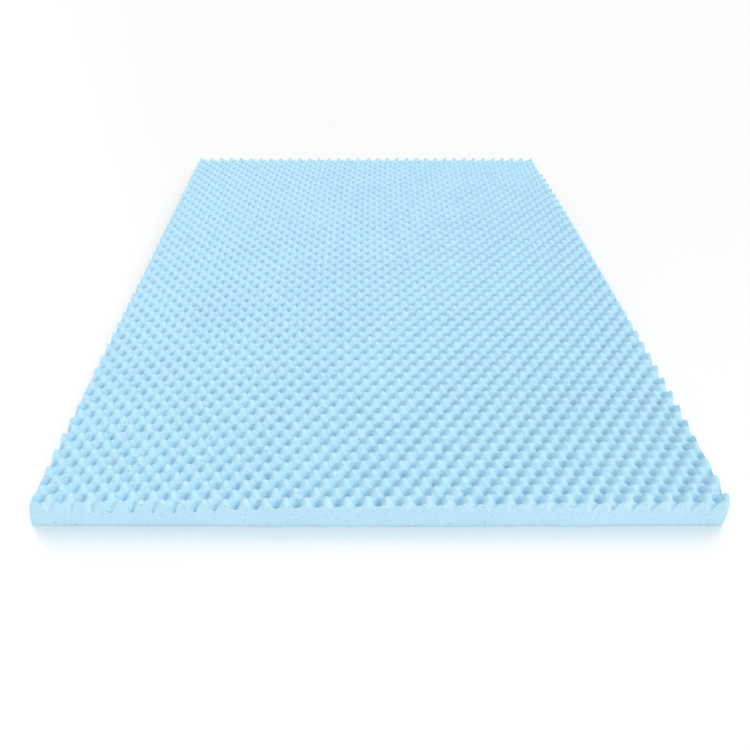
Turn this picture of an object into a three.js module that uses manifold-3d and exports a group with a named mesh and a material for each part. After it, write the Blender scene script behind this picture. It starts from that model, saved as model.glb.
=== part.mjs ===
// A queen-size convoluted foam mattress topper: one slab of soft blue foam with a flat underside
// and a top cut into rows of peaks and valleys. Millimetres, +X to the right across the bed,
// +Y from the near end to the far end, +Z up, with the origin under the middle of the slab.
import * as THREE from "three";
import { mergeVertices } from "three/addons/utils/BufferGeometryUtils.js";
import Module from "manifold-3d";

// Size of the slab. The width is the one at peak height at both ends.
const LENGTH = 2032;
const WIDTH = 1524;
const THICKNESS = 76;
const VALLEY_HEIGHT = 39;

// Distance from peak to peak along a row (across the bed) and along a column (down the bed).
// Peaks and valleys alternate every half pitch in both directions, as on a draughtboard.
const ROW_PITCH = 45;
const COLUMN_PITCH = 55.75;

// The right side stands out a little at mid-length, as an arc.
const RIGHT_BOW = 16;
const BOW_STEPS = 12;

// The sides aren't cut quite square: how far each one stands out at a height above the floor.
const SIDE_CUT = [
  { height: 0, left: 12, right: 0 },
  { height: 26, left: 9, right: 5 },
  { height: THICKNESS, left: 0, right: 0 },
];

// How far the peaks stray from an even grid on the left and on the right side, and what is
// added to that midway between them. start is the shift at the near end, lean what is added by
// the far end, bow what is added halfway, and foot what is added over the first rows.
const SHIFT_ACROSS = {
  left: { start: 15, lean: -5, bow: -45, foot: 0 },
  right: { start: -7, lean: -4, bow: -12, foot: 0 },
  middle: { start: 6, lean: 2, bow: -1, foot: 4 },
};
const SHIFT_ALONG = {
  left: { start: -16, lean: 7, bow: 9, foot: 11 },
  right: { start: 16, lean: -38, bow: -1, foot: 6 },
  middle: { start: 8, lean: -6, bow: -5, foot: -3 },
};
// The first rows reach this share of the length.
const FOOT_REACH = 0.12;

// The sheet and the cutter reach this far past each other, so that no faces coincide.
const OVERCUT = 10;
// The sheet of peaks has this many spare half pitches round the outline.
const SPARE = 3;

const LEFT_REACH = WIDTH / 2 + Math.max(...SIDE_CUT.map((row) => row.left));
const RIGHT_REACH =
  WIDTH / 2 + RIGHT_BOW + Math.max(...SIDE_CUT.map((row) => row.right));
const MIDDLE_X = (RIGHT_REACH - LEFT_REACH) / 2;

const wasm = await Module();
wasm.setup();

// 0 at both ends of the slab and 1 at mid-length.
function bulge(along) {
  return 4 * along * (1 - along);
}

// A shift at a share of the width and of the length, from one of the tables above.
function shiftAt(table, across, along) {
  const nearness = THREE.MathUtils.clamp(1 - along / FOOT_REACH, 0, 1) ** 2;
  const shift = ({ start, lean, bow, foot }) =>
    start + lean * along + bow * bulge(along) + foot * nearness;
  const [left, right, middle] = [table.left, table.right, table.middle].map(
    shift,
  );
  return THREE.MathUtils.lerp(left, right, across) + middle * bulge(across);
}

// The corner of the peak grid that is i half pitches across and j half pitches along.
function gridPoint(i, j) {
  const x = (i * ROW_PITCH) / 2;
  const y = (j * COLUMN_PITCH) / 2;
  const across = x / WIDTH;
  const along = y / LENGTH;
  const isPeak = (i + j) % 2 === 0;
  return new THREE.Vector3(
    x + shiftAt(SHIFT_ACROSS, across, along) - WIDTH / 2,
    y + shiftAt(SHIFT_ALONG, across, along) - LENGTH / 2,
    isPeak ? THICKNESS : VALLEY_HEIGHT,
  );
}

// An indexed closed mesh as a solid for cutting.
function solidOf(points, faces) {
  const geometry = new THREE.BufferGeometry();
  geometry.setFromPoints(points);
  geometry.setIndex(faces);
  const merged = mergeVertices(geometry);
  return new wasm.Manifold(
    new wasm.Mesh({
      numProp: 3,
      vertProperties: new Float32Array(merged.getAttribute("position").array),
      triVerts: new Uint32Array(merged.getIndex().array),
    }),
  );
}

// A closed skin between rings of equal length, stacked upwards, with a fan over each end.
function stackedRings(rings) {
  const count = rings[0].length;
  const points = rings.flat();
  const faces = [];
  for (let level = 0; level + 1 < rings.length; level++) {
    for (let k = 0; k < count; k++) {
      const a = level * count + k;
      const b = level * count + ((k + 1) % count);
      faces.push(a, b, b + count, a, b + count, a + count);
    }
  }
  for (const [level, isTop] of [
    [0, false],
    [rings.length - 1, true],
  ]) {
    const centre = points.length;
    const sum = new THREE.Vector3();
    rings[level].forEach((point) => sum.add(point));
    points.push(sum.divideScalar(count));
    for (let k = 0; k < count; k++) {
      const a = level * count + k;
      const b = level * count + ((k + 1) % count);
      faces.push(centre, ...(isTop ? [a, b] : [b, a]));
    }
  }
  return solidOf(points, faces);
}

// The whole sheet of peaks before it is cut to size: a four-sided peak on each square of
// valleys, because every cell of the grid is folded along its valley corners.
function peakSheet() {
  const first = -SPARE;
  const columns = Math.ceil((2 * WIDTH) / ROW_PITCH) + 2 * SPARE;
  const rows = Math.ceil((2 * LENGTH) / COLUMN_PITCH) + 2 * SPARE;
  const index = (i, j) => j * (columns + 1) + i;
  const points = [];
  const faces = [];
  for (let j = 0; j <= rows; j++) {
    for (let i = 0; i <= columns; i++) {
      points.push(gridPoint(first + i, first + j));
    }
  }
  for (let j = 0; j < rows; j++) {
    for (let i = 0; i < columns; i++) {
      const a = index(i, j);
      const b = index(i + 1, j);
      const c = index(i + 1, j + 1);
      const d = index(i, j + 1);
      if ((i + j) % 2 === 0) faces.push(a, b, d, b, c, d);
      else faces.push(a, b, c, a, c, d);
    }
  }

  const rim = [];
  for (let i = 0; i < columns; i++) rim.push(index(i, 0));
  for (let j = 0; j < rows; j++) rim.push(index(columns, j));
  for (let i = columns; i > 0; i--) rim.push(index(i, rows));
  for (let j = rows; j > 0; j--) rim.push(index(0, j));
  const below = points.length;
  for (const corner of rim) {
    const { x, y } = points[corner];
    points.push(new THREE.Vector3(x, y, -OVERCUT));
  }
  const centre = points.length;
  points.push(new THREE.Vector3(0, 0, -OVERCUT));
  rim.forEach((corner, k) => {
    const next = (k + 1) % rim.length;
    faces.push(corner, below + k, below + next);
    faces.push(corner, below + next, rim[next]);
    faces.push(centre, below + next, below + k);
  });
  return solidOf(points, faces);
}

// The outline of the slab at one height, counter-clockwise from its near left corner.
function outlineRing({ height, left, right }, z = height) {
  const ring = [
    new THREE.Vector3(-WIDTH / 2 - left, LENGTH / 2, z),
    new THREE.Vector3(-WIDTH / 2 - left, -LENGTH / 2, z),
  ];
  for (let step = 0; step <= BOW_STEPS; step++) {
    const along = step / BOW_STEPS;
    const x = WIDTH / 2 + right + RIGHT_BOW * bulge(along);
    ring.push(new THREE.Vector3(x, (along - 0.5) * LENGTH, z));
  }
  return ring;
}

// The cutter has the outline of the slab, from the floor to above the peaks.
function outlineCutter() {
  const rings = SIDE_CUT.map((row) => outlineRing(row));
  rings.push(outlineRing(SIDE_CUT[SIDE_CUT.length - 1], THICKNESS + OVERCUT));
  return stackedRings(rings);
}

// A solid as a three.js geometry.
function geometryOf(solid) {
  const { vertProperties, triVerts, numProp } = solid.getMesh();
  const geometry = new THREE.BufferGeometry();
  geometry.setAttribute(
    "position",
    new THREE.BufferAttribute(vertProperties, numProp),
  );
  geometry.setIndex(new THREE.BufferAttribute(triVerts, 1));
  geometry.computeVertexNormals();
  return geometry;
}

function foamSlab() {
  const foam = new THREE.MeshStandardMaterial({
    color: 0xb4e3fb,
    roughness: 0.95,
    metalness: 0,
    flatShading: true,
  });
  const slab = new THREE.Mesh(
    geometryOf(peakSheet().intersect(outlineCutter())),
    foam,
  );
  slab.name = "foam_slab";
  slab.position.x = -MIDDLE_X;
  return slab;
}

const topper = new THREE.Group();
topper.name = "mattress_topper";
topper.add(foamSlab());

export default topper;
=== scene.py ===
"""A queen-size egg-crate foam mattress topper, lying flat on a pale glossy studio floor.

The slab is one piece of foam: a sheet of rounded peaks and pits, cut to the outline of the bed.
Metres, +X to the right across the bed, +Y from the near end to the far end, +Z up.
"""

import math

import bpy
import numpy as np
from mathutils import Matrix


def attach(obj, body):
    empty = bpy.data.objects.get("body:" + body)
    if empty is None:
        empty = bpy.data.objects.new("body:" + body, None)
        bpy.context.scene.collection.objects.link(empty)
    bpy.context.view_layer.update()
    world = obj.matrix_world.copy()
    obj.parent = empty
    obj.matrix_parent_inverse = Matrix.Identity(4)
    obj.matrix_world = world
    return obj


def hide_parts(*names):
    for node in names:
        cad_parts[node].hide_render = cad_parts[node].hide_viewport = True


# Size of the slab. The width is the one at peak height at both ends.
LENGTH = 2.032
WIDTH = 1.524
THICKNESS = 0.076
VALLEY_HEIGHT = 0.039

# Distance from peak to peak along a row (across the bed) and along a column (down the bed).
# Peaks and pits alternate every half pitch in both directions, as on a draughtboard.
ROW_PITCH = 0.045
COLUMN_PITCH = 0.05575

# The right side stands out a little at mid-length, as an arc.
RIGHT_BOW = 0.016
# The near end stands out a little too, midway between the sides.
NEAR_BOW = 0.003

# The sides aren't cut quite square: how far each one stands out at a height above the floor.
SIDE_CUT = [
    {"height": 0.000, "left": 0.012, "right": 0.003},
    {"height": 0.026, "left": 0.009, "right": 0.005},
    {"height": THICKNESS, "left": 0.000, "right": 0.000},
]

# How far the peaks stray from an even grid on the left and on the right side, and what is
# added to that midway between them. start is the shift at the near end, lean what is added by
# the far end, bow what is added halfway, and foot and head what is added over the first and
# the last rows.
SHIFT_ACROSS = {
    "left": {"start": 0.015, "lean": -0.005, "bow": -0.045, "foot": 0.000, "head": -0.003},
    "right": {"start": -0.007, "lean": -0.004, "bow": -0.012, "foot": 0.000, "head": 0.000},
    "middle": {"start": 0.006, "lean": 0.002, "bow": -0.001, "foot": 0.004, "head": 0.000},
}
SHIFT_ALONG = {
    "left": {"start": -0.016, "lean": 0.007, "bow": 0.009, "foot": 0.011, "head": -0.018},
    "right": {"start": 0.016, "lean": -0.038, "bow": -0.001, "foot": 0.006, "head": -0.012},
    "middle": {"start": 0.008, "lean": -0.006, "bow": -0.005, "foot": -0.003, "head": 0.000},
}
# The first rows and the last rows each reach this share of the length.
END_REACH = 0.12

# The part's origin is under the middle of its widest extent.
LEFT_REACH = WIDTH / 2 + max(row["left"] for row in SIDE_CUT)
RIGHT_REACH = WIDTH / 2 + RIGHT_BOW + max(row["right"] for row in SIDE_CUT)
MIDDLE_X = (RIGHT_REACH - LEFT_REACH) / 2

# The relief has this many steps for each half pitch, so a peak is twice as many across.
STEPS = 4
# Peaks are broader than pits: 1 makes them alike, and more makes the peaks broader.
PEAK_BREADTH = 1.4
# Each peak and each pit is up to this much higher or lower than an even one, or out of place.
PEAK_VARIATION = 0.0014
PIT_VARIATION = 0.0028
PLACE_VARIATION = 0.0022
# The sheet and the cutter reach this far past each other, so that no faces coincide.
OVERCUT = 0.010
# The sheet of peaks has this many spare half pitches round the outline.
SPARE = 3

# The outline runs round these edges in turn, with a point about every CUT_STEP.
EDGES = ["near", "right", "far", "left"]
CUT_STEP = 0.02
# The saw's path wanders by this much, once in about every WANDER_LENGTH of cut.
WANDER = 0.0012
WANDER_LENGTH = 0.11
# The cut has this many levels from this height up to the peaks, above the worn lower edge.
CUT_LEVELS = 6
LOWEST_CUT_LEVEL = 0.013
# The lower edge is worn round by this radius. Halfway round it, the height and the inset are
# both this share of the radius.
EDGE_RADIUS = 0.002
EDGE_MIDDLE = 0.3
# The corners on each side are a little rounded.
CORNER_RADIUS = {"left": 0.004, "right": 0.011}
CORNER_STEPS = 5
# Cut faces that meet at more than this many degrees have a crisp edge between them.
CRISP_ANGLE = 60

# Every random value comes from this seed, so each run gives the same slab.
SEED = 7


def bulge(share):
    """0 at both ends of a length and 1 midway, at a share of it."""
    return 4 * share * (1 - share)


def shift_at(table, across, along):
    """A shift at a share of the width and of the length, from one of the tables above."""
    weights = {
        "start": 1,
        "lean": along,
        "bow": bulge(along),
        "foot": np.clip(1 - along / END_REACH, 0, 1) ** 2,
        "head": np.clip(1 - (1 - along) / END_REACH, 0, 1) ** 2,
    }
    left, right, middle = (
        sum(table[side][term] * weights[term] for term in weights)
        for side in ("left", "right", "middle")
    )
    return left + (right - left) * across + middle * bulge(across)


def smooth_noise(values, positions):
    """Values given at whole numbers, eased between them at any positions."""
    low = np.floor(positions).astype(int)
    share = positions - low
    share = share * share * (3 - 2 * share)
    return values[low] * (1 - share) + values[low + 1] * share


def peak_points(random):
    """The points of the sheet of peaks, in rows from the near end, with spare ones all round."""
    half_columns = math.ceil(2 * WIDTH / ROW_PITCH) + 2 * SPARE
    half_rows = math.ceil(2 * LENGTH / COLUMN_PITCH) + 2 * SPARE
    # Half pitches from the near left corner: whole ones hold a peak or a pit in turn.
    i, j = np.meshgrid(
        np.arange(half_columns * STEPS + 1) / STEPS - SPARE,
        np.arange(half_rows * STEPS + 1) / STEPS - SPARE,
    )
    x = i * ROW_PITCH / 2
    y = j * COLUMN_PITCH / 2
    across = x / WIDTH
    along = y / LENGTH

    wave = np.cos(math.pi * i) * np.cos(math.pi * j)
    depth = ((1 - wave) / 2) ** PEAK_BREADTH
    height = THICKNESS - (THICKNESS - VALLEY_HEIGHT) * depth

    # Each point takes the variation of the peak or pit whose cell it is in.
    offsets = random.uniform(-1, 1, (half_rows + 2, half_columns + 2))
    column = np.rint(i + SPARE).astype(int)
    row = np.rint(j + SPARE).astype(int)
    reach = np.abs(wave)
    size = np.where(wave > 0, PEAK_VARIATION, PIT_VARIATION)
    height = height + offsets[row, column] * size * reach
    strays = random.uniform(-1, 1, (2, half_rows + 2, half_columns + 2)) * PLACE_VARIATION
    x = x + strays[0, row, column] * reach
    y = y + strays[1, row, column] * reach

    return np.stack(
        [
            x + shift_at(SHIFT_ACROSS, across, along) - WIDTH / 2 - MIDDLE_X,
            y + shift_at(SHIFT_ALONG, across, along) - LENGTH / 2,
            height,
        ],
        axis=-1,
    )


def peak_sheet(random):
    """Points and faces of the closed sheet of peaks, before it is cut to size."""
    points = peak_points(random)
    rows, columns = points.shape[:2]
    index = np.arange(rows * columns).reshape(rows, columns)
    quads = np.stack(
        [index[:-1, :-1], index[:-1, 1:], index[1:, 1:], index[1:, :-1]], axis=-1
    ).reshape(-1, 4)

    # Walls go down from the rim of the sheet to a bottom below the floor.
    rim = np.concatenate(
        [index[0, :-1], index[:-1, -1], index[-1, :0:-1], index[:0:-1, 0]]
    )
    flat = points.reshape(-1, 3)
    below = flat[rim] * (1, 1, 0) - (0, 0, OVERCUT)
    low = len(flat) + np.arange(len(rim))
    walls = np.stack([rim, low, np.roll(low, -1), np.roll(rim, -1)], axis=-1)
    bottom = low[::-1]
    faces = quads.tolist() + walls.tolist() + [bottom.tolist()]
    return np.concatenate([flat, below]), faces


def side_stands_out(height, side):
    """How far a side stands out at a height, from the side cut's table."""
    heights = [row["height"] for row in SIDE_CUT]
    return np.interp(height, heights, [row[side] for row in SIDE_CUT])


def outline_ring(height, inset, wander):
    """The outline of the slab at one height, counter-clockwise from its near left corner.

    It lies inside the full outline by the inset, and wander has the saw's noise for each edge.
    """
    left = -WIDTH / 2 - side_stands_out(height, "left") + inset
    right = WIDTH / 2 + side_stands_out(height, "right") - inset
    near = -LENGTH / 2 + inset
    far = LENGTH / 2 - inset
    left_round = CORNER_RADIUS["left"] - inset
    right_round = CORNER_RADIUS["right"] - inset

    def shares(length, before, after):
        """Even shares of an edge's length, between the rounded corners before and after it."""
        return np.linspace(before / length, 1 - after / length, round(length / CUT_STEP))

    def stray(share, length, edge):
        """How far the saw strays from its line, at a share of an edge's length."""
        noise = smooth_noise(wander[EDGES.index(edge)], share * length / WANDER_LENGTH)
        return WANDER * noise * np.sin(math.pi * share)

    def corner(x, y, radius, start):
        """The points of a rounded corner's quarter circle, without its two ends."""
        angles = np.radians(start + 90 * np.arange(1, CORNER_STEPS) / CORNER_STEPS)
        return [x + radius * np.cos(angles), y + radius * np.sin(angles)]

    across = shares(WIDTH, left_round, right_round)
    across_back = shares(WIDTH, right_round, left_round)
    along_right = shares(LENGTH, right_round, right_round)
    along_left = shares(LENGTH, left_round, left_round)
    near_edge = [
        left + (right - left) * across,
        near - NEAR_BOW * bulge(across) + stray(across, WIDTH, "near"),
    ]
    right_edge = [
        right + RIGHT_BOW * bulge(along_right) + stray(along_right, LENGTH, "right"),
        near + (far - near) * along_right,
    ]
    far_edge = [
        right + (left - right) * across_back,
        far + stray(across_back, WIDTH, "far"),
    ]
    left_edge = [
        left + stray(along_left, LENGTH, "left"),
        far + (near - far) * along_left,
    ]
    x, y = np.concatenate(
        [
            near_edge,
            corner(right - right_round, near + right_round, right_round, -90),
            right_edge,
            corner(right - right_round, far - right_round, right_round, 0),
            far_edge,
            corner(left + left_round, far - left_round, left_round, 90),
            left_edge,
            corner(left + left_round, near + left_round, left_round, 180),
        ],
        axis=1,
    )
    return np.stack([x - MIDDLE_X, y, np.full_like(x, height)], axis=-1)


def outline_cutter(random):
    """Points and faces of the cutter, from the floor to above the peaks."""
    spans = math.ceil(LENGTH / WANDER_LENGTH) + 2
    at_floor = random.uniform(-1, 1, (len(EDGES), spans))
    at_peaks = random.uniform(-1, 1, (len(EDGES), spans))
    # Each level is a height and its outline's inset: the worn edge first, then the straight cut.
    levels = [
        (0.0, EDGE_RADIUS),
        (EDGE_RADIUS * EDGE_MIDDLE, EDGE_RADIUS * EDGE_MIDDLE),
        (EDGE_RADIUS, 0.0),
    ]
    levels += [
        (height, 0.0) for height in np.linspace(LOWEST_CUT_LEVEL, THICKNESS, CUT_LEVELS)
    ]
    rings = []
    for height, inset in levels:
        share = height / THICKNESS
        wander = at_floor + (at_peaks - at_floor) * share
        rings.append(outline_ring(height, inset, wander))
    rings.append(rings[-1] + (0, 0, OVERCUT))

    count = len(rings[0])
    faces = [list(range(count))[::-1]]
    for level in range(len(rings) - 1):
        for k in range(count):
            a = level * count + k
            b = level * count + (k + 1) % count
            faces.append([a, b, b + count, a + count])
    faces.append([(len(rings) - 1) * count + k for k in range(count)])
    return np.concatenate(rings), faces


def add_mesh(name, points, faces):
    """A new object with a mesh of these points and faces."""
    mesh = bpy.data.meshes.new(name)
    mesh.from_pydata(np.asarray(points).tolist(), [], faces)
    mesh.update()
    made = bpy.data.objects.new(name, mesh)
    bpy.context.scene.collection.objects.link(made)
    return made


# While the slab is cut, the top's faces and the cut ones are told apart by these slots.
TOP_SLOT = 0
CUT_SLOT = 1


def foam_topper(material):
    """The slab: the sheet of peaks, cut to the outline, with crisp cut edges."""
    random = np.random.default_rng(SEED)
    topper = add_mesh("foam_topper", *peak_sheet(random))
    cutter = add_mesh("outline_cutter", *outline_cutter(random))
    for made in (topper, cutter):
        made.data.materials.append(material)
        made.data.materials.append(material)
        # Two triangles meet in one straight line, so no two cut faces can share a diagonal.
        made.modifiers.new("triangles", "TRIANGULATE")
    cutter.data.polygons.foreach_set(
        "material_index", [CUT_SLOT] * len(cutter.data.polygons)
    )

    cut = topper.modifiers.new("cut", "BOOLEAN")
    cut.operation = "INTERSECT"
    cut.object = cutter
    cut.solver = "MANIFOLD"
    cut.material_mode = "INDEX"
    graph = bpy.context.evaluated_depsgraph_get()
    mesh = bpy.data.meshes.new_from_object(topper.evaluated_get(graph))
    topper.modifiers.clear()
    topper.data = mesh
    bpy.data.objects.remove(cutter)

    mark_cut_edges(mesh)
    mesh.polygons.foreach_set("material_index", [TOP_SLOT] * len(mesh.polygons))
    mesh.materials.clear()
    mesh.materials.append(material)
    return topper


def mark_cut_edges(mesh):
    """Smooth faces, with a crisp edge where the top meets the cuts, and at the cut corners."""
    mesh.shade_smooth()
    neighbours = {}
    for face in mesh.polygons:
        for key in face.edge_keys:
            neighbours.setdefault(key, []).append(face)
    least = math.cos(math.radians(CRISP_ANGLE))

    def is_crisp(one, other):
        """Whether the edge between two faces is a crisp one."""
        if one.material_index != other.material_index:
            return True
        return one.material_index == CUT_SLOT and one.normal.dot(other.normal) < least

    crisp = [is_crisp(*neighbours[edge.key]) for edge in mesh.edges]
    attribute = mesh.attributes.get("sharp_edge") or mesh.attributes.new(
        "sharp_edge", "BOOLEAN", "EDGE"
    )
    attribute.data.foreach_set("value", crisp)


WHITE = (1, 1, 1, 1)

# The foam's colours: where its skin is palest and where it is deepest.
FOAM_PALE = (0.460, 0.708, 0.840, 1)
FOAM_DEEP = (0.445, 0.688, 0.820, 1)
# Its shine, and the sheen of its fine cell walls.
FOAM_SPECULAR = 0.1
SHEEN = 0.04
SHEEN_ROUGHNESS = 0.5
SHEEN_TINT = (0.85, 0.95, 1, 1)
# How rough it is at both ends of the speckle.
FOAM_ROUGHNESS = (0.85, 1)
# Sizes of its cloudiness, its speckle, its cells and its burst cells.
CLOUD_SIZE = 0.16
SPECKLE_SIZE = 0.005
CELL_SIZE = 0.0022
BURST_SIZE = 0.017
# How many finer layers of noise the cloudiness and the speckle have, and the values that most
# of the noise lies between.
CLOUD_DETAIL = 4
SPECKLE_DETAIL = 3
NOISE_RANGE = (0.3, 0.7)
# How much the speckle darkens or lightens the colour, and how much painted shade darkens the
# hollow of a burst cell.
SPECKLE_DEPTH = 0.04
BURST_PAINTED_SHADE = 0.12
# The part of BURST_SIZE that a burst cell takes up, from its middle to its rim.
BURST_RANGE = (0.08, 0.15)
# How deep the cells and the burst cells are.
CELL_DEPTH = 0.0006
BURST_HOLLOW = 0.0012


def foam_material():
    """Pale blue open-cell foam: cloudy and speckled, with fine cells and a few burst ones, whose
    hollows get painted shade.
    """
    material = bpy.data.materials.new("blue_foam")
    material.use_nodes = True
    nodes = material.node_tree.nodes
    links = material.node_tree.links
    shader = nodes["Principled BSDF"]
    shader.inputs["Specular IOR Level"].default_value = FOAM_SPECULAR
    shader.inputs["Sheen Weight"].default_value = SHEEN
    shader.inputs["Sheen Roughness"].default_value = SHEEN_ROUGHNESS
    shader.inputs["Sheen Tint"].default_value = SHEEN_TINT
    place = nodes.new("ShaderNodeTexCoord").outputs["Object"]

    def noise(size, detail):
        """Soft noise with blotches of a size."""
        node = nodes.new("ShaderNodeTexNoise")
        node.inputs["Scale"].default_value = 1 / size
        node.inputs["Detail"].default_value = detail
        links.new(place, node.inputs["Vector"])
        return node.outputs["Fac"]

    def cells(size):
        """The distance from the middle of the nearest cell, for cells of a size."""
        node = nodes.new("ShaderNodeTexVoronoi")
        node.inputs["Scale"].default_value = 1 / size
        links.new(place, node.inputs["Vector"])
        return node.outputs["Distance"]

    def eased(value, source, low, high):
        """A value that goes smoothly from low to high over the source range."""
        node = nodes.new("ShaderNodeMapRange")
        node.interpolation_type = "SMOOTHSTEP"
        links.new(value, node.inputs["Value"])
        node.inputs["From Min"].default_value = source[0]
        node.inputs["From Max"].default_value = source[1]
        node.inputs["To Min"].default_value = low
        node.inputs["To Max"].default_value = high
        return node.outputs["Result"]

    def times(one, other):
        """The product of two values."""
        node = nodes.new("ShaderNodeMath")
        node.operation = "MULTIPLY"
        links.new(one, node.inputs[0])
        links.new(other, node.inputs[1])
        return node.outputs["Value"]

    # Colour and roughness
    speckle = noise(SPECKLE_SIZE, SPECKLE_DETAIL)
    burst = cells(BURST_SIZE)
    cloud = nodes.new("ShaderNodeMix")
    cloud.data_type = "RGBA"
    cloud.inputs["A"].default_value = FOAM_DEEP
    cloud.inputs["B"].default_value = FOAM_PALE
    cloudiness = eased(noise(CLOUD_SIZE, CLOUD_DETAIL), NOISE_RANGE, 0, 1)
    links.new(cloudiness, cloud.inputs["Factor"])
    # The speckle's random tone, times painted shade that darkens the hollow in the middle of
    # each burst cell.
    speckle_and_painted_shade = times(
        eased(speckle, NOISE_RANGE, 1 - SPECKLE_DEPTH, 1 + SPECKLE_DEPTH),
        eased(burst, BURST_RANGE, 1 - BURST_PAINTED_SHADE, 1),
    )
    speckled_and_shaded_colour = nodes.new("ShaderNodeVectorMath")
    speckled_and_shaded_colour.operation = "SCALE"
    links.new(cloud.outputs["Result"], speckled_and_shaded_colour.inputs["Vector"])
    links.new(speckle_and_painted_shade, speckled_and_shaded_colour.inputs["Scale"])
    links.new(speckled_and_shaded_colour.outputs["Vector"], shader.inputs["Base Color"])
    links.new(eased(speckle, NOISE_RANGE, *FOAM_ROUGHNESS), shader.inputs["Roughness"])

    # Relief of the cells and of the burst ones
    fine = nodes.new("ShaderNodeBump")
    fine.inputs["Distance"].default_value = CELL_DEPTH
    links.new(cells(CELL_SIZE), fine.inputs["Height"])
    hollow = nodes.new("ShaderNodeBump")
    hollow.inputs["Distance"].default_value = BURST_HOLLOW
    links.new(eased(burst, BURST_RANGE, 0, 1), hollow.inputs["Height"])
    links.new(fine.outputs["Normal"], hollow.inputs["Normal"])
    links.new(hollow.outputs["Normal"], shader.inputs["Normal"])
    return material


# The camera, as the photo's vanishing points and the standard bed size give it. The focal
# length and the centre of the view, from the frame's upper left corner, are in the photo's
# pixels, the sensor's width in millimetres and the pitch in degrees below level.
FOCAL_PX = 705.468
FRAME_PX = 750
CENTRE_PX = (352.66, 300.0)
SENSOR = 36.0
CAMERA_PITCH = 32.446
CAMERA_PLACE = (-0.06516, -2.06906, 1.26236)


def add_camera():
    """The camera at the photo's place, with the shift that its framing needs."""
    camera = bpy.data.objects.new("camera", bpy.data.cameras.new("camera"))
    bpy.context.scene.collection.objects.link(camera)
    camera.data.sensor_width = SENSOR
    camera.data.lens = FOCAL_PX / FRAME_PX * SENSOR
    camera.data.shift_x = 0.5 - CENTRE_PX[0] / FRAME_PX
    camera.data.shift_y = CENTRE_PX[1] / FRAME_PX - 0.5
    camera.location = CAMERA_PLACE
    camera.rotation_euler = (math.radians(90 - CAMERA_PITCH), 0, 0)
    bpy.context.scene.camera = camera


# The floor reaches this far each way, past what the camera sees.
FLOOR_REACH = 30
# It is pale. Gloss is this share of it, rough enough to mirror the slab only faintly.
FLOOR_COLOUR = (0.70, 0.70, 0.70, 1)
FLOOR_GLOSS = 0.45
FLOOR_ROUGHNESS = 0.4


def add_floor():
    """A pale floor with a soft gloss, which shows a faint mirror image of the slab."""
    corners = [(-1, -1), (1, -1), (1, 1), (-1, 1)]
    points = [(x * FLOOR_REACH, y * FLOOR_REACH, 0) for x, y in corners]
    floor = add_mesh("floor", points, [[0, 1, 2, 3]])
    material = bpy.data.materials.new("pale_floor")
    material.use_nodes = True
    nodes = material.node_tree.nodes
    links = material.node_tree.links
    nodes.clear()
    matte = nodes.new("ShaderNodeBsdfDiffuse")
    matte.inputs["Color"].default_value = FLOOR_COLOUR
    gloss = nodes.new("ShaderNodeBsdfGlossy")
    gloss.inputs["Color"].default_value = WHITE
    gloss.inputs["Roughness"].default_value = FLOOR_ROUGHNESS
    mix = nodes.new("ShaderNodeMixShader")
    mix.inputs["Fac"].default_value = FLOOR_GLOSS
    output = nodes.new("ShaderNodeOutputMaterial")
    links.new(matte.outputs["BSDF"], mix.inputs[1])
    links.new(gloss.outputs["BSDF"], mix.inputs[2])
    links.new(mix.outputs["Shader"], output.inputs["Surface"])
    floor.data.materials.append(material)


# The studio has even white walls: how bright they look, and how brightly they light the slab.
WALLS_LOOK = 1
WALLS_LIGHT = 0.85
# Its soft lights. The azimuth is from +X towards +Y, the softness is the angle that the light
# spans, both in degrees, and the strength is what falls on a surface facing the light.
LIGHTS = [
    {"name": "key", "azimuth": -36, "elevation": 40, "softness": 20, "strength": 0.82},
    {"name": "top", "azimuth": 0, "elevation": 80, "softness": 90, "strength": 0.6},
    {"name": "back", "azimuth": 135, "elevation": 20, "softness": 40, "strength": 0.3},
    {"name": "fill", "azimuth": -90, "elevation": 10, "softness": 60, "strength": 0.3},
]


def add_walls():
    """The white walls, which look brighter than the light that they give matte surfaces."""
    world = bpy.data.worlds.new("studio")
    bpy.context.scene.world = world
    world.use_nodes = True
    nodes = world.node_tree.nodes
    links = world.node_tree.links
    path = nodes.new("ShaderNodeLightPath")
    brightness = nodes.new("ShaderNodeMapRange")
    brightness.inputs["To Min"].default_value = WALLS_LOOK
    brightness.inputs["To Max"].default_value = WALLS_LIGHT
    background = nodes["Background"]
    background.inputs["Color"].default_value = WHITE
    links.new(path.outputs["Is Diffuse Ray"], brightness.inputs["Value"])
    links.new(brightness.outputs["Result"], background.inputs["Strength"])


def add_lights():
    """The studio's soft lights."""
    for row in LIGHTS:
        light = bpy.data.objects.new(row["name"], bpy.data.lights.new(row["name"], "SUN"))
        bpy.context.scene.collection.objects.link(light)
        light.data.energy = row["strength"]
        light.data.angle = math.radians(row["softness"])
        tilt = math.radians(90 - row["elevation"])
        turn = math.radians(row["azimuth"] + 90)
        light.rotation_euler = (tilt, 0, turn)


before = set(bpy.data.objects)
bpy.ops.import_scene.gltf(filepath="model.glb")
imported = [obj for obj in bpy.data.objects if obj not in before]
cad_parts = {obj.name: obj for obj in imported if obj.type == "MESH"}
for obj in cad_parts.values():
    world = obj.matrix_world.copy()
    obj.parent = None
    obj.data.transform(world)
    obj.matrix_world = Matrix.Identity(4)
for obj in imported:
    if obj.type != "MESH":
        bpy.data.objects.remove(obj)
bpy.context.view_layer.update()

bpy.context.scene.view_settings.view_transform = "Standard"
add_camera()
add_floor()
add_walls()
add_lights()
topper = foam_topper(foam_material())
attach(topper, "root")
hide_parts("foam_slab")
